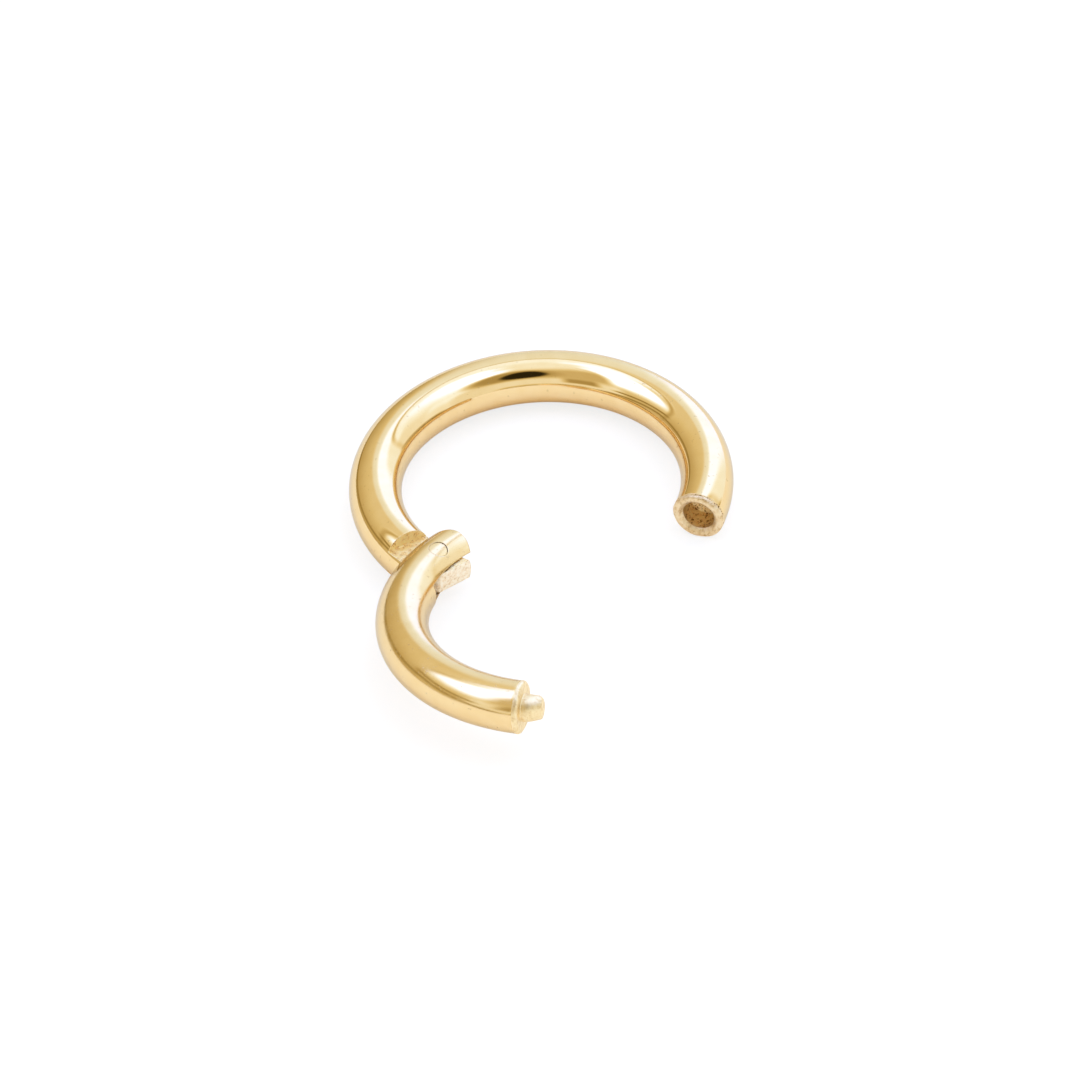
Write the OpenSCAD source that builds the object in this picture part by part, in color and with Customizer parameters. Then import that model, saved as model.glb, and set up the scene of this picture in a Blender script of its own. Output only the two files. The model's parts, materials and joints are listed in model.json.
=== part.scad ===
// Clicker ring: a hoop of round wire in two arcs, for a piercing.
// The short arc swings on a riveted fork hinge and closes with a peg in a socket.
// It lies on its side on the XY plane, open. Millimetres, +Z up.
// The origin is on that plane, under the centre of the closed ring.

/* [Wire] */
// Diameter of the round wire (16 gauge)
wire_d = 1.2; // [1.1:0.05:1.4]
// Clear diameter inside the closed ring
inner_d = 6.35; // [6:0.05:9]

/* [Closing] */
// Direction of the hinge pin from the ring's centre, in degrees
hinge_angle = 228; // [220:1:235]
// Direction of the socket's mouth from the ring's centre, in degrees
socket_angle = 337.5; // [330:0.5:342]
// How far the short arc stands open, in degrees from closed
opening = 85; // [0:1:92]

/* [Hinge] */
// Lean of the pin towards the ring's centre, in degrees: the short arc rises as it opens
pin_lean = 5.9; // [4:0.1:7]
// Distance of the pin inside the wire's centre line
pin_inset = 0.12; // [0:0.01:0.15]
// Diameter of the rivet
pin_d = 0.42; // [0.3:0.01:0.46]
// Radial play of the rivet in the tongue
pin_play = 0.015; // [0.01:0.005:0.03]
// Thickness of the tongue
tongue_t = 0.5; // [0.4:0.01:0.52]
// Height of the tongue's middle above the wire's
tongue_rise = 0.02; // [-0.03:0.01:0.05]
// Play between the tongue and each ear of the fork
leaf_play = 0.03; // [0.02:0.005:0.05]
// Radius of the ears' round ends
ear_r = 0.78; // [0.7:0.01:0.8]
// Radius of the lower ear's round end
ear_low_r = 0.5; // [0.45:0.01:0.6]
// Depth of the flat filed on the lower ear's inner side
ear_flat = 0.17; // [0:0.01:0.2]

/* [Closure] */
// Diameter of the socket's bore
socket_d = 0.74; // [0.7:0.01:0.8]
// Depth of the socket's bore
socket_depth = 0.6; // [0.5:0.05:1]
// Width of the bevel round the socket's mouth
mouth_bevel = 0.08; // [0.06:0.01:0.1]
// Width of the bevel round the socket's outer edge
rim_bevel = 0.08; // [0.04:0.01:0.1]
// Width of the bevel round the short arc's end
end_bevel = 0.08; // [0.02:0.01:0.1]
// Diameter of the peg
peg_d = 0.62; // [0.6:0.01:0.64]
// Length of the peg
peg_l = 0.44; // [0.3:0.01:0.45]

/* [Hidden] */
$fn = 96;
gold = [0.86, 0.68, 0.38];
wire_r = wire_d / 2;
ring_r = inner_d / 2 + wire_r;
pin_ring_r = ring_r - pin_inset;
far = 3;

// The ring's shoulders, where its tongue begins, clear the ears' round ends
shoulder_play = 0.12;
shoulder_back = asin((ear_r + shoulder_play) / pin_ring_r);
// The tongue ends in a slanted flat, with its outer corner rounded about the pin
tongue_round_r = 0.57;
tongue_reach = 0.47;
tongue_slant = 8;
tongue_low = tongue_rise - tongue_t / 2;
// The fork's slot is deep enough for the tongue's corners over the whole swing
slot_root = 0.9;
slot_low = tongue_low - leaf_play;
slot_t = tongue_t + 2 * leaf_play;

// The short arc's end stops short of the socket's face
end_play = 0.03;
end_angle = socket_angle - end_play / ring_r * 180 / PI;
// The peg is trimmed to the ring that the socket's mouth sweeps about the pin
peg_edge_r = 0.15;
path_r = 0.33;
// Nothing of the open short arc reaches below this height
underside = 0.01;

function on_ring(radius, angle, height) = [radius * cos(angle), radius * sin(angle), height];
pin_place = on_ring(pin_ring_r, hinge_angle, wire_r);

// Round wire from one direction to another, counter-clockwise
module wire(from, to) {
    translate([0, 0, wire_r])
        rotate([0, 0, from])
            rotate_extrude(angle = to - from)
                translate([ring_r, 0])
                    circle(r = wire_r);
}

// The hinge's own frame: Z is the pin, X points out of the ring, Y along the wire to the short arc
module at_hinge() {
    translate(pin_place) rotate([0, 0, hinge_angle]) rotate([0, -pin_lean, 0]) children();
}

// Swings the closed short arc open about the pin
module opened() {
    at_hinge()
        rotate([0, 0, -opening])
            rotate([0, pin_lean, 0]) rotate([0, 0, -hinge_angle]) translate(-pin_place)
                children();
}

// The end of the wire at a direction: Z runs along the wire, X points out of the ring
module at_end(angle) {
    translate(on_ring(ring_r, angle, wire_r)) rotate([0, 0, angle]) rotate([-90, 0, 0]) children();
}

// Seen along the pin: wide towards the ring, round at its outer corner, slanted at its end
module tongue_outline() {
    intersection() {
        union() {
            circle(r = tongue_round_r);
            polygon([
                [-far, -far], [far, -far], [far, tongue_round_r - far],
                [tongue_round_r, 0], [0, 0], [0, far], [-far, far]
            ]);
        }
        rotate(-tongue_slant)
            translate([-2 * far, tongue_reach - 4 * far])
                square(4 * far);
    }
}

// What lies outside the ears' round ends, behind the pin
module behind_ears() {
    behind_ear(ear_r, 0);
    behind_ear(ear_low_r, -far);
    // The flat leaves the wire again beyond the slot
    flat_tilt = 40;
    flat_taper = 18;
    flat_end = 1.25;
    rotate([0, 0, flat_taper])
        rotate([0, -flat_tilt, 0])
            translate([ear_flat + pin_inset * cos(flat_tilt) - wire_r - far, -far, -far])
                cube([far, far + flat_end, 2 * far]);
}

module behind_ear(radius, low) {
    translate([0, 0, low])
        linear_extrude(far)
            difference() {
                translate([-far, -2 * far]) square(2 * far);
                circle(r = radius);
            }
}

// Beyond the shoulders only the tongue stays
module round_tongue() {
    difference() {
        rotate([0, 0, hinge_angle - shoulder_back])
            translate([ring_r - far, 0, -far])
                cube([2 * far, far, 3 * far]);
        at_hinge()
            translate([0, 0, tongue_low])
                linear_extrude(tongue_t)
                    tongue_outline();
    }
}

// Bevels the outer edge of a wire's end: the wire runs off along Z
module bevel_waste(width) {
    // The bevel starts just outside the wire, so that it leaves no sliver
    start = 0.002;
    difference() {
        cylinder(h = width + start, r = 2 * wire_r);
        translate([0, 0, -width])
            cylinder(h = 2 * width + start, r1 = wire_r - 2 * width, r2 = wire_r + start);
    }
}

module socket() {
    at_end(socket_angle) {
        cylinder(h = 2 * socket_depth, r = socket_d / 2, center = true);
        translate([0, 0, -mouth_bevel])
            cylinder(h = 2 * mouth_bevel, r1 = socket_d / 2 + 2 * mouth_bevel, r2 = socket_d / 2);
    }
}

module peg_blank() {
    root = 0.1;
    at_end(end_angle)
        translate([0, 0, -root])
            rotate_extrude() {
                square([peg_d / 2 - peg_edge_r, root + peg_l]);
                square([peg_d / 2, root + peg_l - peg_edge_r]);
                translate([peg_d / 2 - peg_edge_r, root + peg_l - peg_edge_r])
                    circle(r = peg_edge_r);
            }
}

// The room that the socket's mouth leaves the peg on its way in
module peg_path() {
    mouth = on_ring(ring_r, socket_angle, wire_r);
    rise = (pin_place - mouth) * [cos(hinge_angle), sin(hinge_angle), 0] * sin(pin_lean);
    away = norm(mouth - pin_place);
    at_hinge()
        translate([0, 0, rise])
            rotate_extrude()
                translate([sqrt(away * away - rise * rise), 0])
                    circle(r = path_r);
}

module ring_body() {
    color(gold)
        difference() {
            wire(socket_angle - 360, hinge_angle + shoulder_back);
            round_tongue();
            at_hinge() cylinder(h = 2 * far, r = pin_d / 2 + pin_play, center = true);
            socket();
            at_end(socket_angle) bevel_waste(rim_bevel);
        }
}

module closed_segment() {
    difference() {
        wire(hinge_angle - shoulder_back, end_angle);
        at_hinge() {
            behind_ears();
            translate([-far, slot_root - 2 * far, slot_low]) cube([2 * far, 2 * far, slot_t]);
            cylinder(h = 2 * far, r = pin_d / 2, center = true);
        }
        at_end(end_angle) mirror([0, 0, 1]) bevel_waste(end_bevel);
    }
    intersection() {
        peg_blank();
        peg_path();
    }
}

module closed_pin() {
    difference() {
        intersection() {
            at_hinge() cylinder(h = 2 * far, r = pin_d / 2, center = true);
            wire(hinge_angle - shoulder_back, hinge_angle + shoulder_back);
        }
        at_hinge() behind_ears();
    }
}

// Opens what is drawn closed, and trims what would then reach below the underside
module opened_and_trimmed() {
    reach = 3 * ring_r;
    difference() {
        opened() children();
        translate([-reach, -reach, underside - far]) cube([2 * reach, 2 * reach, far]);
    }
}

module hinged_segment() {
    color(gold) opened_and_trimmed() closed_segment();
}

module hinge_pin() {
    color(gold) opened_and_trimmed() closed_pin();
}

ring_body();
hinged_segment();
hinge_pin();
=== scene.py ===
import json
from math import atan, cos, degrees, pi, radians, sin

import bmesh
import bpy
from mathutils import Matrix, Vector, noise


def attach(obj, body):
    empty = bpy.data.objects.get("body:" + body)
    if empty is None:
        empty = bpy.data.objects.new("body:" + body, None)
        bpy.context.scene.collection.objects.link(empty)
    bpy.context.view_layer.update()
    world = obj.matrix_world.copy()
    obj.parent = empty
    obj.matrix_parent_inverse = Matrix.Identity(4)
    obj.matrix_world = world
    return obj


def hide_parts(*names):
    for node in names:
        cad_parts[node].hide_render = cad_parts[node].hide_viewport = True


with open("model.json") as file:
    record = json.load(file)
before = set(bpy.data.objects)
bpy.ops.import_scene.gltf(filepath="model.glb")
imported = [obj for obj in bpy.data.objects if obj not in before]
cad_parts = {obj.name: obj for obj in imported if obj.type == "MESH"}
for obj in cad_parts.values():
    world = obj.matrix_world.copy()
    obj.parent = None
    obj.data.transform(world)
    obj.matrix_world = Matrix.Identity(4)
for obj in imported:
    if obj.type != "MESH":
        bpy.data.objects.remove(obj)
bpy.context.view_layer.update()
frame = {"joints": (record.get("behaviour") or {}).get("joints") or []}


# The camera stands in front of the ring and looks down on it, rolled a little to the left.
# It is a long lens from 28 cm away, so the ring is seen with almost no perspective.
look_at = Vector((-0.000098, -0.001234, 0.0))
camera_away = 0.2809
camera_height = radians(41.31)
camera_roll = radians(-3.18)
sideways = Vector((1.0, 0.0, 0.0))
back = Vector((0.0, -cos(camera_height), sin(camera_height)))
level_up = Vector((0.0, sin(camera_height), cos(camera_height)))
right = sideways * cos(camera_roll) + level_up * sin(camera_roll)
up = level_up * cos(camera_roll) - sideways * sin(camera_roll)
camera_turn = Matrix((right, up, back)).transposed().to_4x4()
camera = bpy.data.objects.new("camera", bpy.data.cameras.new("camera"))
camera.data.sensor_width = 36.0
camera.data.lens = 412.7
camera.data.clip_start = 0.01
camera.matrix_world = Matrix.Translation(look_at + back * camera_away) @ camera_turn
bpy.context.collection.objects.link(camera)
bpy.context.scene.camera = camera
bpy.context.scene.view_settings.view_transform = "Standard"


# The studio round the ring: a large soft light at the right, one at the left and a narrow one behind,
# with paler walls between them, a dim line along the horizon and the dark camera in front.
# All of it is a sky of light by direction. The camera itself sees a plain pale backdrop.
class Shade:
    """A number or colour inside a material, so that sums on it are written as plain sums."""

    def __init__(self, tree, socket=None):
        self.tree = tree
        self.socket = socket

    def add(self, kind, settings, inputs, output=0):
        """Adds a node, with its settings and the values or links of its inputs."""
        node = self.tree.nodes.new(kind)
        for name, value in settings.items():
            if name == "stops":
                ramp = node.color_ramp.elements
                while len(ramp) < len(value):
                    ramp.new(1.0)
                for stop, (place, colour) in zip(ramp, value):
                    stop.position = place
                    stop.color = colour
            else:
                setattr(node, name, value)
        for name, value in inputs.items():
            if isinstance(value, Shade):
                self.tree.links.new(value.socket, node.inputs[name])
            else:
                node.inputs[name].default_value = value
        return Shade(self.tree, node.outputs[output] if len(node.outputs) else None)

    def sum(self, operation, a, b):
        return self.add("ShaderNodeMath", {"operation": operation}, {0: a, 1: b})

    def __add__(self, other):
        return self.sum("ADD", self, other)

    def __radd__(self, other):
        return self.sum("ADD", other, self)

    def __sub__(self, other):
        return self.sum("SUBTRACT", self, other)

    def __rsub__(self, other):
        return self.sum("SUBTRACT", other, self)

    def __mul__(self, other):
        return self.sum("MULTIPLY", self, other)

    def __rmul__(self, other):
        return self.sum("MULTIPLY", other, self)

    def __abs__(self):
        return self.add("ShaderNodeMath", {"operation": "ABSOLUTE"}, {0: self})

    def rise(self, low, high, bottom=0.0, top=1.0):
        """Goes smoothly from bottom to top while this number goes from low to high."""
        return self.add(
            "ShaderNodeMapRange",
            {"interpolation_type": "SMOOTHSTEP"},
            {"Value": self, "From Min": low, "From Max": high, "To Min": bottom, "To Max": top},
        )

    def fall(self, low, high):
        """Goes smoothly from one to nothing while this number goes from low to high."""
        return self.rise(low, high, 1.0, 0.0)

    def blend(self, first, second):
        """Goes from the first colour to the second while this number goes from 0 to 1."""
        return self.add("ShaderNodeMix", {"data_type": "RGBA"}, {0: self, 6: first, 7: second}, 2)


world = bpy.data.worlds.new("studio")
world.use_nodes = True
world.node_tree.nodes.clear()
bpy.context.scene.world = world
sky = Shade(world.node_tree)
direction = sky.add("ShaderNodeTexCoord", {}, {}, "Generated")
along_x, along_y, along_z = (
    sky.add("ShaderNodeSeparateXYZ", {}, {0: direction}, axis) for axis in "XYZ"
)
height = sky.add("ShaderNodeMath", {"operation": "ARCSINE"}, {0: along_z}) * degrees(1.0)


def turned(middle):
    """How far a direction is turned to the left of a compass direction, in degrees."""
    c, s = cos(radians(middle)), sin(radians(middle))
    aside = along_y * c - along_x * s
    ahead = along_x * c + along_y * s
    return sky.add("ShaderNodeMath", {"operation": "ARCTAN2"}, {0: aside, 1: ahead}) * degrees(1.0)


def near(middle, inner, outer):
    """One within the inner angle from a compass direction, and nothing beyond the outer one."""
    return abs(turned(middle)).fall(inner, outer)


def oval(middle, half_width, level, half_height):
    """Nothing in the middle of an oval window of sky, and one on its edge."""
    aside = turned(middle) * (1.0 / half_width)
    above = (height - level) * (1.0 / half_height)
    return aside * aside + above * above


def covered(bright, panels):
    """Covers a brightness with panels: each has its own brightness, and how much it covers."""
    for panel, share in panels:
        bright = bright + (panel - bright) * share
    return bright


# White card in full light has a brightness of 1. Heights and compass directions are in degrees
right_wall = height.rise(18.0, 34.0, 1.08, 1.3)
left_wall = height.rise(8.0, 46.0, 0.58, 0.88)
leaning = abs(turned(175.0) + (height - 50.0) * 0.5)
bright = covered(right_wall, [
    # Shade on the right wall's middle and on its end nearest the camera
    (1.04, near(14.0, 12.0, 20.0)),
    (0.94, near(310.0, 18.0, 30.0) * height.fall(26.0, 40.0)),
    # The left wall, and the wall behind the camera
    (left_wall, near(168.0, 30.0, 44.0)),
    (0.99, near(258.0, 40.0, 54.0)),
    # Shade on the wall behind the camera, and a doorway in it
    (0.58, near(262.0, 50.0, 74.0) * height.rise(24.0, 40.0) * height.fall(60.0, 76.0)),
    (0.36, near(236.0, 8.0, 18.0) * height.rise(10.0, 18.0) * height.fall(26.0, 40.0)),
    # The ceiling
    (1.15, height.rise(70.0, 82.0)),
    # The light at the right, the one at the left and the narrow one behind
    (
        height.rise(40.0, 76.0, 1.28, 2.0),
        near(3.0, 32.0, 60.0) * height.rise(26.0, 48.0) * height.fall(70.0, 84.0),
    ),
    (1.9, leaning.fall(20.0, 36.0) * height.rise(29.0, 48.0) * height.fall(66.0, 78.0)),
    (1.6, near(150.0, 28.0, 52.0) * height.rise(54.0, 66.0) * height.fall(72.0, 82.0)),
])
# Behind the ring a sheet of card stands up in an arch, with a thin shadow round its edge
behind = turned(97.0)
arch = oval(97.0, 72.0, 0.0, 57.0)
inside = arch.fall(0.86, 1.04)
edge = arch.rise(0.9, 1.0) * arch.fall(1.0, 1.1) * behind.rise(-66.0, -44.0, 0.3, 0.85)
sheet = covered(1.0, [
    (height.rise(0.0, 54.0, 0.46, 0.8), behind.rise(-14.0, 8.0)),
    (1.2, behind.fall(-46.0, -24.0)),
    (1.5, near(65.0, 9.0, 22.0)),
])
# A dim line runs along the horizon. On the left it rises to a low crest, with a second line above it
horizon = height.fall(2.0, 10.0) * (near(4.0, 16.0, 28.0) + near(264.0, 26.0, 40.0) * 0.6)
crest = abs(turned(172.0)) * -0.22 + 14.0
second = abs(height - 21.0 + turned(185.0) * 0.14)
bright = covered(bright, [
    (sheet, inside),
    (0.42, edge),
    (0.2, horizon),
    (0.27, abs(height - crest).fall(1.0, 4.5) * near(172.0, 50.0, 66.0)),
    (0.25, second.fall(0.5, 4.0) * near(186.0, 20.0, 30.0)),
    # The dim surroundings of the camera, and the camera
    (0.36, oval(291.0, 45.0, 51.0, 20.0).fall(0.3, 1.3)),
    (0.02, oval(280.0, 23.0, 50.0, 16.0).fall(0.5, 1.1)),
])
# The dim walls are warm, the lights a little blue, and the middle of the sheet is cooler
warm_to_blue = [
    (0.0, (0.0, 0.0, 0.0, 1.0)),
    (0.1, (0.132, 0.1, 0.038, 1.0)),
    (0.168, (0.206, 0.168, 0.09, 1.0)),
    (0.238, (0.268, 0.238, 0.158, 1.0)),
    (0.3, (0.308, 0.3, 0.262, 1.0)),
    (0.362, (0.341, 0.362, 0.387, 1.0)),
    (0.427, (0.364, 0.427, 0.553, 1.0)),
    (0.533, (0.43, 0.533, 1.0, 1.0)),
    (1.0, (0.9, 1.0, 1.4, 1.0)),
]
brightest = 3.0
tint = sky.add("ShaderNodeValToRGB", {"stops": warm_to_blue}, {"Fac": bright * (1.0 / brightest)})
tint = (near(87.0, 4.0, 14.0) * inside * 0.6).blend(tint, (0.31, 0.36, 0.44, 1.0))
seen = sky.add("ShaderNodeLightPath", {}, {}, "Is Camera Ray")
backdrop = (0.34, 0.34, 0.34, 1.0)
light = sky.add(
    "ShaderNodeBackground", {}, {"Color": seen.blend(tint, backdrop), "Strength": brightest}
)
sky.add("ShaderNodeOutputWorld", {}, {"Surface": light})


# The ring lies on a sheet of white card, which is nearly as bright as the camera can hold.
# It is lit from below as well, so that only faint grey shadows are left beside the ring.
floor_bm = bmesh.new()
bmesh.ops.create_grid(floor_bm, x_segments=1, y_segments=1, size=0.6)
floor_mesh = bpy.data.meshes.new("floor")
floor_bm.to_mesh(floor_mesh)
floor_bm.free()
floor = bpy.data.objects.new("floor", floor_mesh)
bpy.context.collection.objects.link(floor)
card = bpy.data.materials.new("white_card")
card.use_nodes = True
card.node_tree.nodes.clear()
paper = Shade(card.node_tree)
place = paper.add("ShaderNodeTexCoord", {}, {}, "Object")
grain = paper.add("ShaderNodeTexNoise", {}, {"Vector": place, "Scale": 3000.0, "Detail": 2.0}, "Fac")
warm = grain.blend((0.94, 0.9, 0.7, 1.0), (0.97, 0.94, 0.74, 1.0))
# Seen straight it is white with neutral shadows. What the gold mirrors of it is warmer
seen = paper.add("ShaderNodeLightPath", {}, {}, "Is Camera Ray")
surface = paper.add(
    "ShaderNodeBsdfPrincipled",
    {},
    {
        "Base Color": seen.blend(warm, (0.5, 0.34, 0.24, 1.0)),
        "Roughness": 0.9,
        "Specular IOR Level": 0.0,
        "Emission Color": seen.blend((0.17, 0.14, 0.15, 1.0), (0.61, 0.73, 0.79, 1.0)),
        "Emission Strength": 1.0,
    },
)
paper.add("ShaderNodeOutputMaterial", {}, {"Surface": surface})
floor_mesh.materials.append(card)


# The long arc is one length of round gold wire bent to a hoop, mirror-polished and faintly worn.
# One end is drilled for the peg. The other is sawn above and below, and leaves a flat tongue for
# the hinge. Lengths are in millimetres, and each finished piece is brought to metres at the end.
wire_r = 0.6
ring_r = 3.775
socket_angle = radians(337.5)
socket_r = 0.37
socket_depth = 0.6
drill_tip_r, drill_tip = 0.1, 0.08
mouth_w = 0.08
rim_r = 0.08
groove_depth = 0.018
hinge_angle = radians(228.0)
pin_lean = radians(5.9)
pin_inset = 0.12
tongue_hole_r = 0.225
tongue_low, tongue_high = -0.23, 0.27
tongue_round, tongue_reach, tongue_slant = 0.57, 0.47, radians(8.0)
ear_r, shoulder_play = 0.78, 0.12
shoulder = ear_r + shoulder_play
# How far the wires run on past the pin, before they are sawn
overlap = radians(14.0)
around_wire = 144
pin_at = Vector(frame["joints"][0]["pos_m"]) * 1000.0
pin_axis = Vector(frame["joints"][0]["axis"])
at_hinge = (
    Matrix.Translation(pin_at)
    @ Matrix.Rotation(hinge_angle, 4, "Z")
    @ Matrix.Rotation(-pin_lean, 4, "Y")
)


def polish(name, least, most):
    """Polished gold with faint specks and soft edges, and its dullness between two values."""
    polished = bpy.data.materials.new(name)
    polished.use_nodes = True
    polished.node_tree.nodes.clear()
    gold = Shade(polished.node_tree)
    place = gold.add("ShaderNodeTexCoord", {}, {}, "Object")

    def cloudy(scale, detail):
        return gold.add(
            "ShaderNodeTexNoise", {}, {"Vector": place, "Scale": scale, "Detail": detail}, "Fac"
        )

    cloud, fine, swell = cloudy(2500.0, 4.0), cloudy(9000.0, 2.0), cloudy(1600.0, 1.0)
    specks = fine.rise(0.66, 0.74)
    yellow = cloud.rise(0.3, 0.7).blend((0.89, 0.665, 0.34, 1.0), (0.91, 0.695, 0.375, 1.0))
    rounded = gold.add("ShaderNodeBevel", {"samples": 4}, {"Radius": 0.00003})
    relief = {
        "Strength": 0.28,
        "Distance": 0.00001,
        "Height": swell * 0.5 + fine * 0.03,
        "Normal": rounded,
    }
    metal = gold.add(
        "ShaderNodeBsdfPrincipled",
        {},
        {
            "Base Color": (specks * 0.25).blend(yellow, (0.45, 0.28, 0.09, 1.0)),
            "Metallic": 1.0,
            "Roughness": cloud.rise(0.35, 0.75, least, most) + specks * 0.2,
            "Specular Tint": (0.76, 0.79, 0.84, 1.0),
            "Normal": gold.add("ShaderNodeBump", {}, relief),
        },
    )
    gold.add("ShaderNodeOutputMaterial", {}, {"Surface": metal})
    return polished


def rough(name, deep, pale, pit_and_shade, most_pits_and_shade, unevenness_and_glints=0.8):
    """Gold left as cut, matt and torn: from its deeper colour to its paler one, with dark pits and pale
    painted glints. Heavy dark pits are painted shade.
    """
    left_as_cut = bpy.data.materials.new(name)
    left_as_cut.use_nodes = True
    left_as_cut.node_tree.nodes.clear()
    cut = Shade(left_as_cut.node_tree)
    place = cut.add("ShaderNodeTexCoord", {}, {}, "Object")

    def grainy(scale, detail, roughness):
        return cut.add(
            "ShaderNodeTexNoise",
            {},
            {"Vector": place, "Scale": scale, "Detail": detail, "Roughness": roughness},
            "Fac",
        )

    coarse, grit = grainy(9000.0, 5.0, 0.7), grainy(26000.0, 2.0, 0.5)
    # Dark pits, which are painted shade where they are made many and dark, and pale specks on the grit,
    # which are painted glints
    pits = coarse.rise(0.5, 0.38) * grit.rise(0.42, 0.6)
    painted_glints = grit.rise(0.6, 0.7) * unevenness_and_glints * 0.6
    tone = coarse.rise(0.35, 0.65).blend((*deep, 1.0), (*pale, 1.0))
    tone = painted_glints.blend(tone, (1.0, 0.88, 0.66, 1.0))
    rounded = cut.add("ShaderNodeBevel", {"samples": 4}, {"Radius": 0.00002})
    relief = {
        "Strength": unevenness_and_glints,
        "Distance": 0.00003,
        "Height": coarse + grit * 0.35,
        "Normal": rounded,
    }
    metal = cut.add(
        "ShaderNodeBsdfPrincipled",
        {},
        {
            "Base Color": (pits * most_pits_and_shade).blend(tone, (*pit_and_shade, 1.0)),
            "Metallic": 1.0,
            "Roughness": 0.4,
            "Normal": cut.add("ShaderNodeBump", {}, relief),
        },
    )
    cut.add("ShaderNodeOutputMaterial", {}, {"Surface": metal})
    return left_as_cut


mirror = polish("mirror_gold", 0.03, 0.07)
raw = rough("cut_gold", (0.79, 0.58, 0.31), (0.91, 0.75, 0.51), (0.42, 0.24, 0.08), 0.6)
torn = rough("torn_gold", (0.92, 0.75, 0.52), (1.0, 0.92, 0.76), (0.5, 0.32, 0.14), 0.5)
sawn = rough("sawn_gold", (1.0, 0.74, 0.34), (1.0, 0.86, 0.5), (0.5, 0.28, 0.09), 0.75)
# The bore's wall keeps its drilled grain, and its many near-black pits are painted shade down the bore
drilled_and_shaded = rough("drilled_and_shaded_gold", (0.96, 0.68, 0.36), (1.0, 0.86, 0.56), (0.2, 0.1, 0.03), 1.5)
# The groove round the socket's mouth is painted dark: painted shade in the groove
groove_shade = rough("groove_shade_gold", (0.5, 0.34, 0.14), (0.72, 0.52, 0.26), (0.2, 0.11, 0.03), 0.85)


def end_of_wire(angle):
    """Places a wire's end: its X points out of the ring, and its Z runs along the wire."""
    middle = Vector((ring_r * cos(angle), ring_r * sin(angle), wire_r))
    return (
        Matrix.Translation(middle)
        @ Matrix.Rotation(angle, 4, "Z")
        @ Matrix.Rotation(radians(-90.0), 4, "X")
    )


# In a wire's own frame it starts at the origin and bends round this centre and axis
bend_centre = Vector((-ring_r, 0.0, 0.0))
bend_axis = Vector((0.0, -1.0, 0.0))


def next_ring(bm, loop, old, new, bent=False):
    """Draws out one more ring of a round profile, from (radius, depth) to (radius, depth)."""
    made = bmesh.ops.extrude_edge_only(bm, edges=loop)["geom"]
    verts = [g for g in made if isinstance(g, bmesh.types.BMVert)]
    widening = (new[0] / old[0], new[0] / old[0], 1.0)
    if bent:
        unbend = Matrix.Rotation(-old[1] / ring_r, 3, bend_axis)
        bend = Matrix.Rotation(new[1] / ring_r, 3, bend_axis)
        bmesh.ops.rotate(bm, cent=bend_centre, matrix=unbend, verts=verts)
        bmesh.ops.scale(bm, vec=widening, verts=verts)
        bmesh.ops.rotate(bm, cent=bend_centre, matrix=bend, verts=verts)
    else:
        bmesh.ops.scale(bm, vec=widening, verts=verts)
        bmesh.ops.translate(bm, vec=(0.0, 0.0, new[1] - old[1]), verts=verts)
    return [g for g in made if isinstance(g, bmesh.types.BMEdge)]


def quarter_round(radius, edge_r, depth):
    """The rounded edge of a turned end, as pairs of radius and depth."""
    turns = [radians(15.0 * i) for i in range(1, 7)]
    return [(radius - edge_r + edge_r * sin(t), depth + edge_r * (1.0 - cos(t))) for t in turns]


def turned_end(bm, profile, edge):
    """Makes the end of a wire from its middle outwards, and its edge up to the wire's full round."""
    disc = bmesh.ops.create_circle(bm, cap_ends=True, segments=around_wire, radius=profile[0][0])
    bmesh.ops.translate(bm, vec=(0.0, 0.0, profile[0][1]), verts=disc["verts"])
    loop = list(bm.edges)
    for old, new in zip(profile, profile[1:]):
        loop = next_ring(bm, loop, old, new)
    # The cut face is uneven, and the drill leaves finer marks from a little way inside the bore
    marks_from = 0.1
    for v in bm.verts:
        v.co += noise.noise_vector(v.co * 4.0) * 0.009 + noise.noise_vector(v.co * 17.0) * 0.003
        if v.co.z > marks_from:
            v.co += noise.noise_vector(v.co * 26.0) * 0.009
    for old, new in zip([profile[-1]] + edge, edge):
        loop = next_ring(bm, loop, old, new, bent=True)
    # The last ring is made truly round again, so that the bare wire carries none of the unevenness
    last = {v for e in loop for v in e.verts}
    hub = Matrix.Translation(bend_centre)
    there = hub @ Matrix.Rotation(edge[-1][1] / ring_r, 4, bend_axis) @ hub.inverted()
    for v in last:
        flat = there.inverted() @ v.co
        flat.z = 0.0
        v.co = there @ (flat.normalized() * wire_r)
    return loop


def drawn_wire(bm, loop, sweep, steps):
    """Bends plain round wire on from the last ring, and closes its far end flat."""
    verts = list({v for e in loop for v in e.verts})
    spun = bmesh.ops.spin(
        bm, geom=verts + loop, cent=bend_centre, axis=bend_axis, angle=sweep, steps=steps
    )
    far_end = [g for g in spun["geom_last"] if isinstance(g, bmesh.types.BMEdge)]
    bmesh.ops.contextual_create(bm, geom=far_end)


def shop_piece(bm, name, *materials):
    """Turns a bmesh into an object, with its faces pointing outwards."""
    bmesh.ops.recalc_face_normals(bm, faces=bm.faces)
    mesh = bpy.data.meshes.new(name)
    bm.to_mesh(mesh)
    bm.free()
    for material in materials:
        mesh.materials.append(material)
    piece = bpy.data.objects.new(name, mesh)
    bpy.context.collection.objects.link(piece)
    return piece


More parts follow.
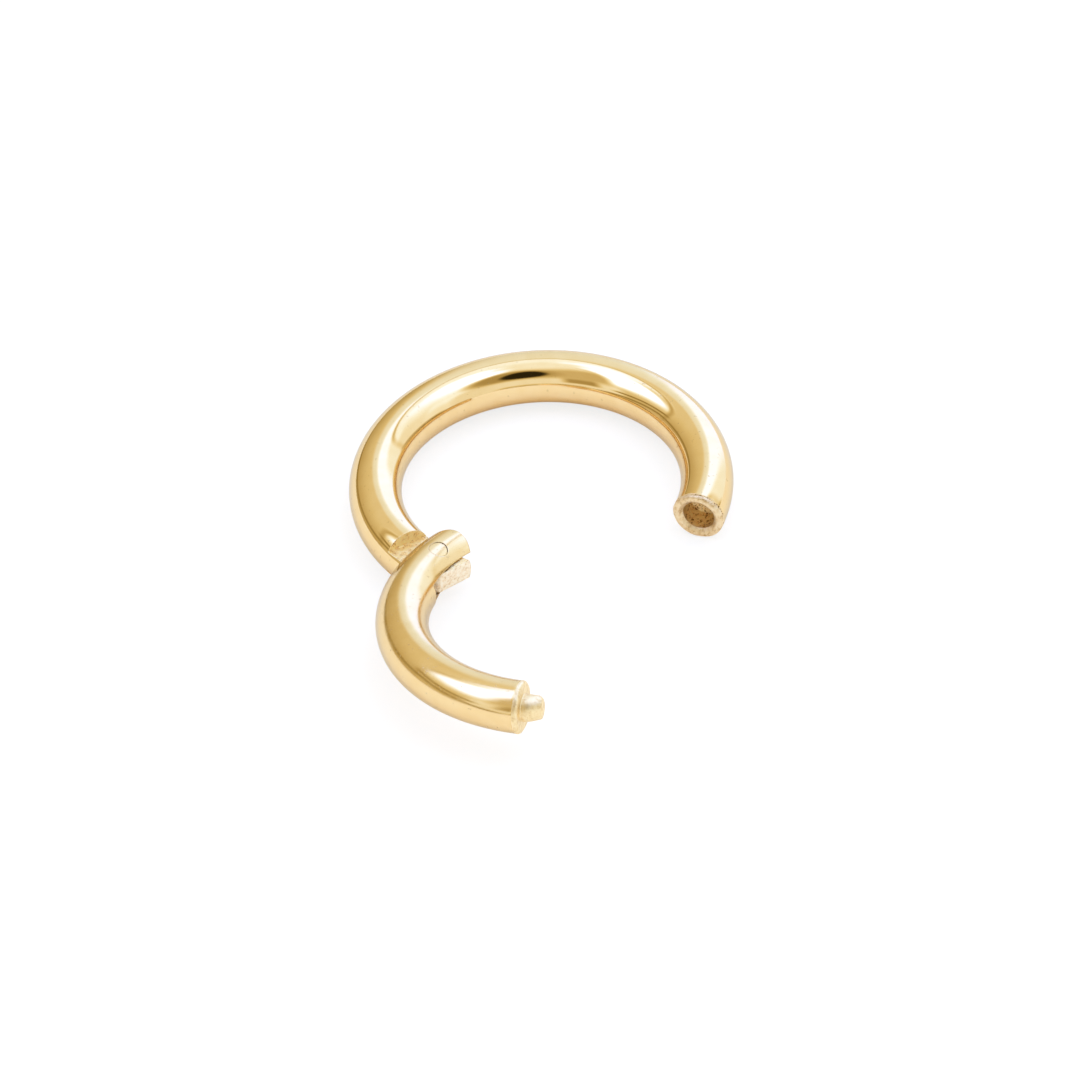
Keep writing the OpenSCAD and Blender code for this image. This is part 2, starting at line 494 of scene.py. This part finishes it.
def cut_with(piece, tool, how="DIFFERENCE"):
    """Saws the tool's shape out of a piece and clears the burr. Sawn faces take the tool's material."""
    saw = piece.modifiers.new("saw", "BOOLEAN")
    saw.operation = how
    saw.solver = "EXACT"
    saw.material_mode = "TRANSFER"
    saw.object = tool
    result = piece.evaluated_get(bpy.context.evaluated_depsgraph_get())
    shaped = bpy.data.meshes.new_from_object(result)
    piece.modifiers.clear()
    piece.data = shaped
    bpy.data.objects.remove(tool)
    burr = 0.00005
    bm = bmesh.new()
    bm.from_mesh(shaped)
    bmesh.ops.remove_doubles(bm, verts=bm.verts, dist=burr)
    bm.to_mesh(shaped)
    bm.free()


def block(low, high, placed, *materials):
    """A plain block between two corners, for sawing."""
    bm = bmesh.new()
    bmesh.ops.create_cube(bm, size=1.0)
    low, high = Vector(low), Vector(high)
    bmesh.ops.scale(bm, vec=high - low, verts=bm.verts)
    bmesh.ops.translate(bm, vec=(low + high) / 2.0, verts=bm.verts)
    bmesh.ops.transform(bm, matrix=placed, verts=bm.verts)
    return shop_piece(bm, "block", *materials)


def rod(radius, low, high, placed, *materials):
    """A plain round rod between two heights, for drilling."""
    bm = bmesh.new()
    bmesh.ops.create_cone(
        bm, cap_ends=True, segments=96, radius1=radius, radius2=radius, depth=high - low,
        matrix=placed @ Matrix.Translation((0.0, 0.0, (low + high) / 2.0)),
    )
    return shop_piece(bm, "rod", *materials)


def finished(piece, name):
    """Brings a piece to metres and sets which edges stay crisp."""
    piece.name = piece.data.name = name
    bm = bmesh.new()
    bm.from_mesh(piece.data)
    bmesh.ops.remove_doubles(bm, verts=bm.verts, dist=0.0001)
    bmesh.ops.scale(bm, vec=(0.001, 0.001, 0.001), verts=bm.verts)
    bm.to_mesh(piece.data)
    bm.free()
    piece.data.shade_smooth()
    piece.data.set_sharp_from_angle(angle=radians(32.0))


noise.seed_set(4)
hoop_bm = bmesh.new()
# From the drill's tip out along the bore's wall, over the bevelled mouth to the face's outer edge
wall_steps = 16
bore = [(drill_tip_r, socket_depth + drill_tip), (socket_r, socket_depth)]
for i in range(wall_steps - 1, -1, -1):
    bore.append((socket_r, mouth_w + (socket_depth - mouth_w) * i / wall_steps))
bore += [
    (socket_r + mouth_w / 2.0, mouth_w / 2.0),
    (socket_r + mouth_w, 0.008),
    (socket_r + mouth_w + 0.015, 0.0),
    (wire_r - rim_r - 0.03, 0.0),
    (wire_r - rim_r, 0.0),
]
# A shallow groove runs round the face, and its faces are painted dark as shade
groove = [
    (wire_r - groove_depth, rim_r + 0.012),
    (wire_r - groove_depth, rim_r + 0.03),
    (wire_r, rim_r + 0.042),
]
loop = turned_end(hoop_bm, bore, quarter_round(wire_r, rim_r, 0.0) + groove)
raw_faces = len(hoop_bm.faces)
groove_from = raw_faces - len(groove) * around_wire
drilled_from = mouth_w + 0.02
drilled_faces = {f.index for f in hoop_bm.faces if f.calc_center_median().z > drilled_from}
hoop_sweep = hinge_angle + overlap - (socket_angle - 2.0 * pi) - groove[-1][1] / ring_r
drawn_wire(hoop_bm, loop, hoop_sweep, steps=330)
hoop_bm.faces.ensure_lookup_table()
hoop_finishes = [mirror, raw, drilled_and_shaded, groove_shade]
# Deep in the bore, and in the groove round its mouth, the faces take painted shade
for face in hoop_bm.faces:
    if face.index in drilled_faces:
        finish = drilled_and_shaded
    elif groove_from <= face.index < raw_faces:
        finish = groove_shade
    else:
        finish = raw if face.index < raw_faces else mirror
    face.material_index = hoop_finishes.index(finish)
bmesh.ops.transform(hoop_bm, matrix=end_of_wire(socket_angle), verts=hoop_bm.verts)
hoop = shop_piece(hoop_bm, "hoop", *hoop_finishes)

# Beyond the shoulder only the tongue stays: the rest is sawn away above it and below it.
# All blocks reach well past the wire
behind_shoulder = Matrix.Rotation(hinge_angle - atan(shoulder / (ring_r - pin_inset)), 4, "Z")
for low, high in ((tongue_high, 3.0), (-3.0, tongue_low)):
    waste = block((ring_r - 2.0, 0.0, -2.0), (ring_r + 2.0, 3.0, 3.0), behind_shoulder, sawn)
    cut_with(waste, block((-4.0, -4.0, low), (4.0, 4.0, high), at_hinge, sawn), "INTERSECT")
    cut_with(hoop, waste)
# Its end is torn off on a slant. Its outer corner is round, and spreads at 45 degrees from there
slanted = at_hinge @ Matrix.Rotation(-tongue_slant, 4, "Z")
cut_with(hoop, block((-3.0, tongue_reach, -2.0), (3.0, 3.0, 2.0), slanted, torn))
waste = block((0.0, 0.0, -2.0), (1.5, 1.5, 2.0), at_hinge, torn)
cut_with(waste, rod(tongue_round, -3.0, 3.0, at_hinge, torn))
cut_with(hoop, waste)
corner = (
    at_hinge
    @ Matrix.Translation((tongue_round, 0.0, 0.0))
    @ Matrix.Rotation(radians(-45.0), 4, "Z")
)
cut_with(hoop, block((0.0, 0.0, -2.0), (1.5, 1.5, 2.0), corner, torn))
cut_with(hoop, rod(tongue_hole_r, -1.0, 1.0, at_hinge, raw))
finished(hoop, "gold_hoop")
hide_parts("ring_body")
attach(hoop, "hoop")


# The short arc is bent from the same wire, and is polished a little less. One end is sawn to a fork
# that straddles the tongue, and the other is turned down to a short peg. It is made closed, in line
# with the hoop, and then swung open about the rivet.
end_play, leaf_play = 0.03, 0.03
end_angle = socket_angle - end_play / ring_r
end_r = 0.08
peg_r, peg_l, peg_edge, peg_root = 0.31, 0.44, 0.15, 0.02
path_r = 0.33
pin_r = 0.21
ear_low_r = 0.5
ear_flat, flat_tilt, flat_taper, flat_end = 0.17, radians(40.0), radians(18.0), 1.25
slot_root = 0.9
slot_low, slot_high = tongue_low - leaf_play, tongue_high + leaf_play
underside = 0.01
opening = radians(85.0)
opened = (
    Matrix.Translation(pin_at)
    @ Matrix.Rotation(-opening, 4, pin_axis)
    @ Matrix.Translation(-pin_at)
)
worn = polish("worn_gold", 0.13, 0.18)
turned_gold = rough(
    "turned_gold", (0.86, 0.67, 0.36), (0.96, 0.8, 0.5), (0.6, 0.4, 0.16), 0.4, unevenness_and_glints=0.4
)
arc_bm = bmesh.new()
# From the peg's tip back along its side, and out over the wire's end
peg = [(0.05, -peg_l), (peg_r - peg_edge, -peg_l)] + quarter_round(peg_r, peg_edge, -peg_l)
peg += [(peg_r, -0.2), (peg_r, -0.12), (peg_r, -0.05), (peg_r, -peg_root), (peg_r + peg_root, 0.0)]
peg += [(0.38, 0.0), (0.45, 0.0), (wire_r - end_r, 0.0)]
matt_edge = quarter_round(wire_r, end_r, 0.0) + [(wire_r, 0.1)]
loop = turned_end(arc_bm, peg, matt_edge)
raw_faces = len(arc_bm.faces)
arc_sweep = end_angle - (hinge_angle - overlap) - matt_edge[-1][1] / ring_r
drawn_wire(arc_bm, loop, arc_sweep, steps=170)
arc_bm.faces.ensure_lookup_table()
for face in arc_bm.faces:
    face.material_index = 1 if face.index < raw_faces else 0
arc_end = end_of_wire(end_angle)
mirrored = arc_end @ Matrix.Diagonal((1.0, 1.0, -1.0, 1.0))
bmesh.ops.transform(arc_bm, matrix=mirrored, verts=arc_bm.verts)
# The peg's outer side is filed to the path that it swings along into the socket. The filing
# starts above the unevenness of the end's face
mouth = Vector((ring_r * cos(socket_angle), ring_r * sin(socket_angle), wire_r)) - pin_at
path_rise = mouth.dot(pin_axis)
path_out = (mouth - pin_axis * path_rise).length
filed_from = 0.015
for v in arc_bm.verts:
    from_face = (arc_end.inverted() @ v.co).z
    if from_face > filed_from:
        arm = v.co - pin_at
        rise = arm.dot(pin_axis)
        flat = arm - pin_axis * rise
        off = Vector((flat.length - path_out, rise - path_rise))
        if off.length > path_r:
            off = off.normalized() * path_r
            v.co = pin_at + flat.normalized() * (path_out + off.x) + pin_axis * (path_rise + off.y)
arc = shop_piece(arc_bm, "arc", worn, turned_gold)

# The fork is filed flat inside and slotted. Its ears are rounded behind the pin, the lower one shorter
filed = at_hinge @ Matrix.Rotation(flat_taper, 4, "Z") @ Matrix.Rotation(-flat_tilt, 4, "Y")
flat_at = ear_flat + pin_inset * cos(flat_tilt) - wire_r
flat_waste = ((flat_at - 3.0, -3.0, -3.0), (flat_at, flat_end, 3.0), filed, worn)
cut_with(arc, block(*flat_waste))
cut_with(arc, block((-1.5, -3.0, slot_low), (1.5, slot_root, slot_high), at_hinge, raw))
for radius, low, high in ((ear_r, 0.0, 1.2), (ear_low_r, -1.2, 0.0)):
    waste = block((-1.5, -1.6, low), (1.5, 0.0, high), at_hinge, worn)
    cut_with(waste, rod(radius, -1.5, 1.5, at_hinge, worn))
    cut_with(arc, waste)
# The arc's hole for the rivet is painted dark as shade
cut_with(arc, rod(pin_r, -1.0, 1.0, at_hinge, drilled_and_shaded))
arc.data.transform(opened)
# The rivet's hole gapes a little on one side only, and the gap's walls are painted dark as shade
gap = 0.004
gaping = Matrix.Translation((0.012, 0.022, 0.0)) @ at_hinge
cut_with(arc, rod(pin_r + gap, 0.4, 1.0, gaping, drilled_and_shaded))
# Nothing of the open arc reaches below its underside
below = ((-12.0, -14.0, -2.0), (12.0, 6.0, underside), Matrix.Identity(4), worn)
cut_with(arc, block(*below))
finished(arc, "gold_short_arc")
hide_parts("hinged_segment")
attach(arc, "segment")


# The rivet is a plain gold pin through both ears and the tongue. Its ends are filed flush
# with the round of the wire, so that only a thin seam shows.
stub = radians(16.0)
pin_bm = bmesh.new()
bmesh.ops.create_circle(pin_bm, cap_ends=True, segments=around_wire, radius=wire_r)
drawn_wire(pin_bm, list(pin_bm.edges), stub, steps=40)
bmesh.ops.transform(pin_bm, matrix=end_of_wire(hinge_angle - stub / 2.0), verts=pin_bm.verts)
rivet = shop_piece(pin_bm, "rivet", worn)
cut_with(rivet, rod(pin_r, -1.0, 1.0, at_hinge, worn), "INTERSECT")
cut_with(rivet, block(*flat_waste))
rivet.data.transform(opened)
cut_with(rivet, block(*below))
finished(rivet, "gold_rivet")
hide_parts("hinge_pin")
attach(rivet, "segment")
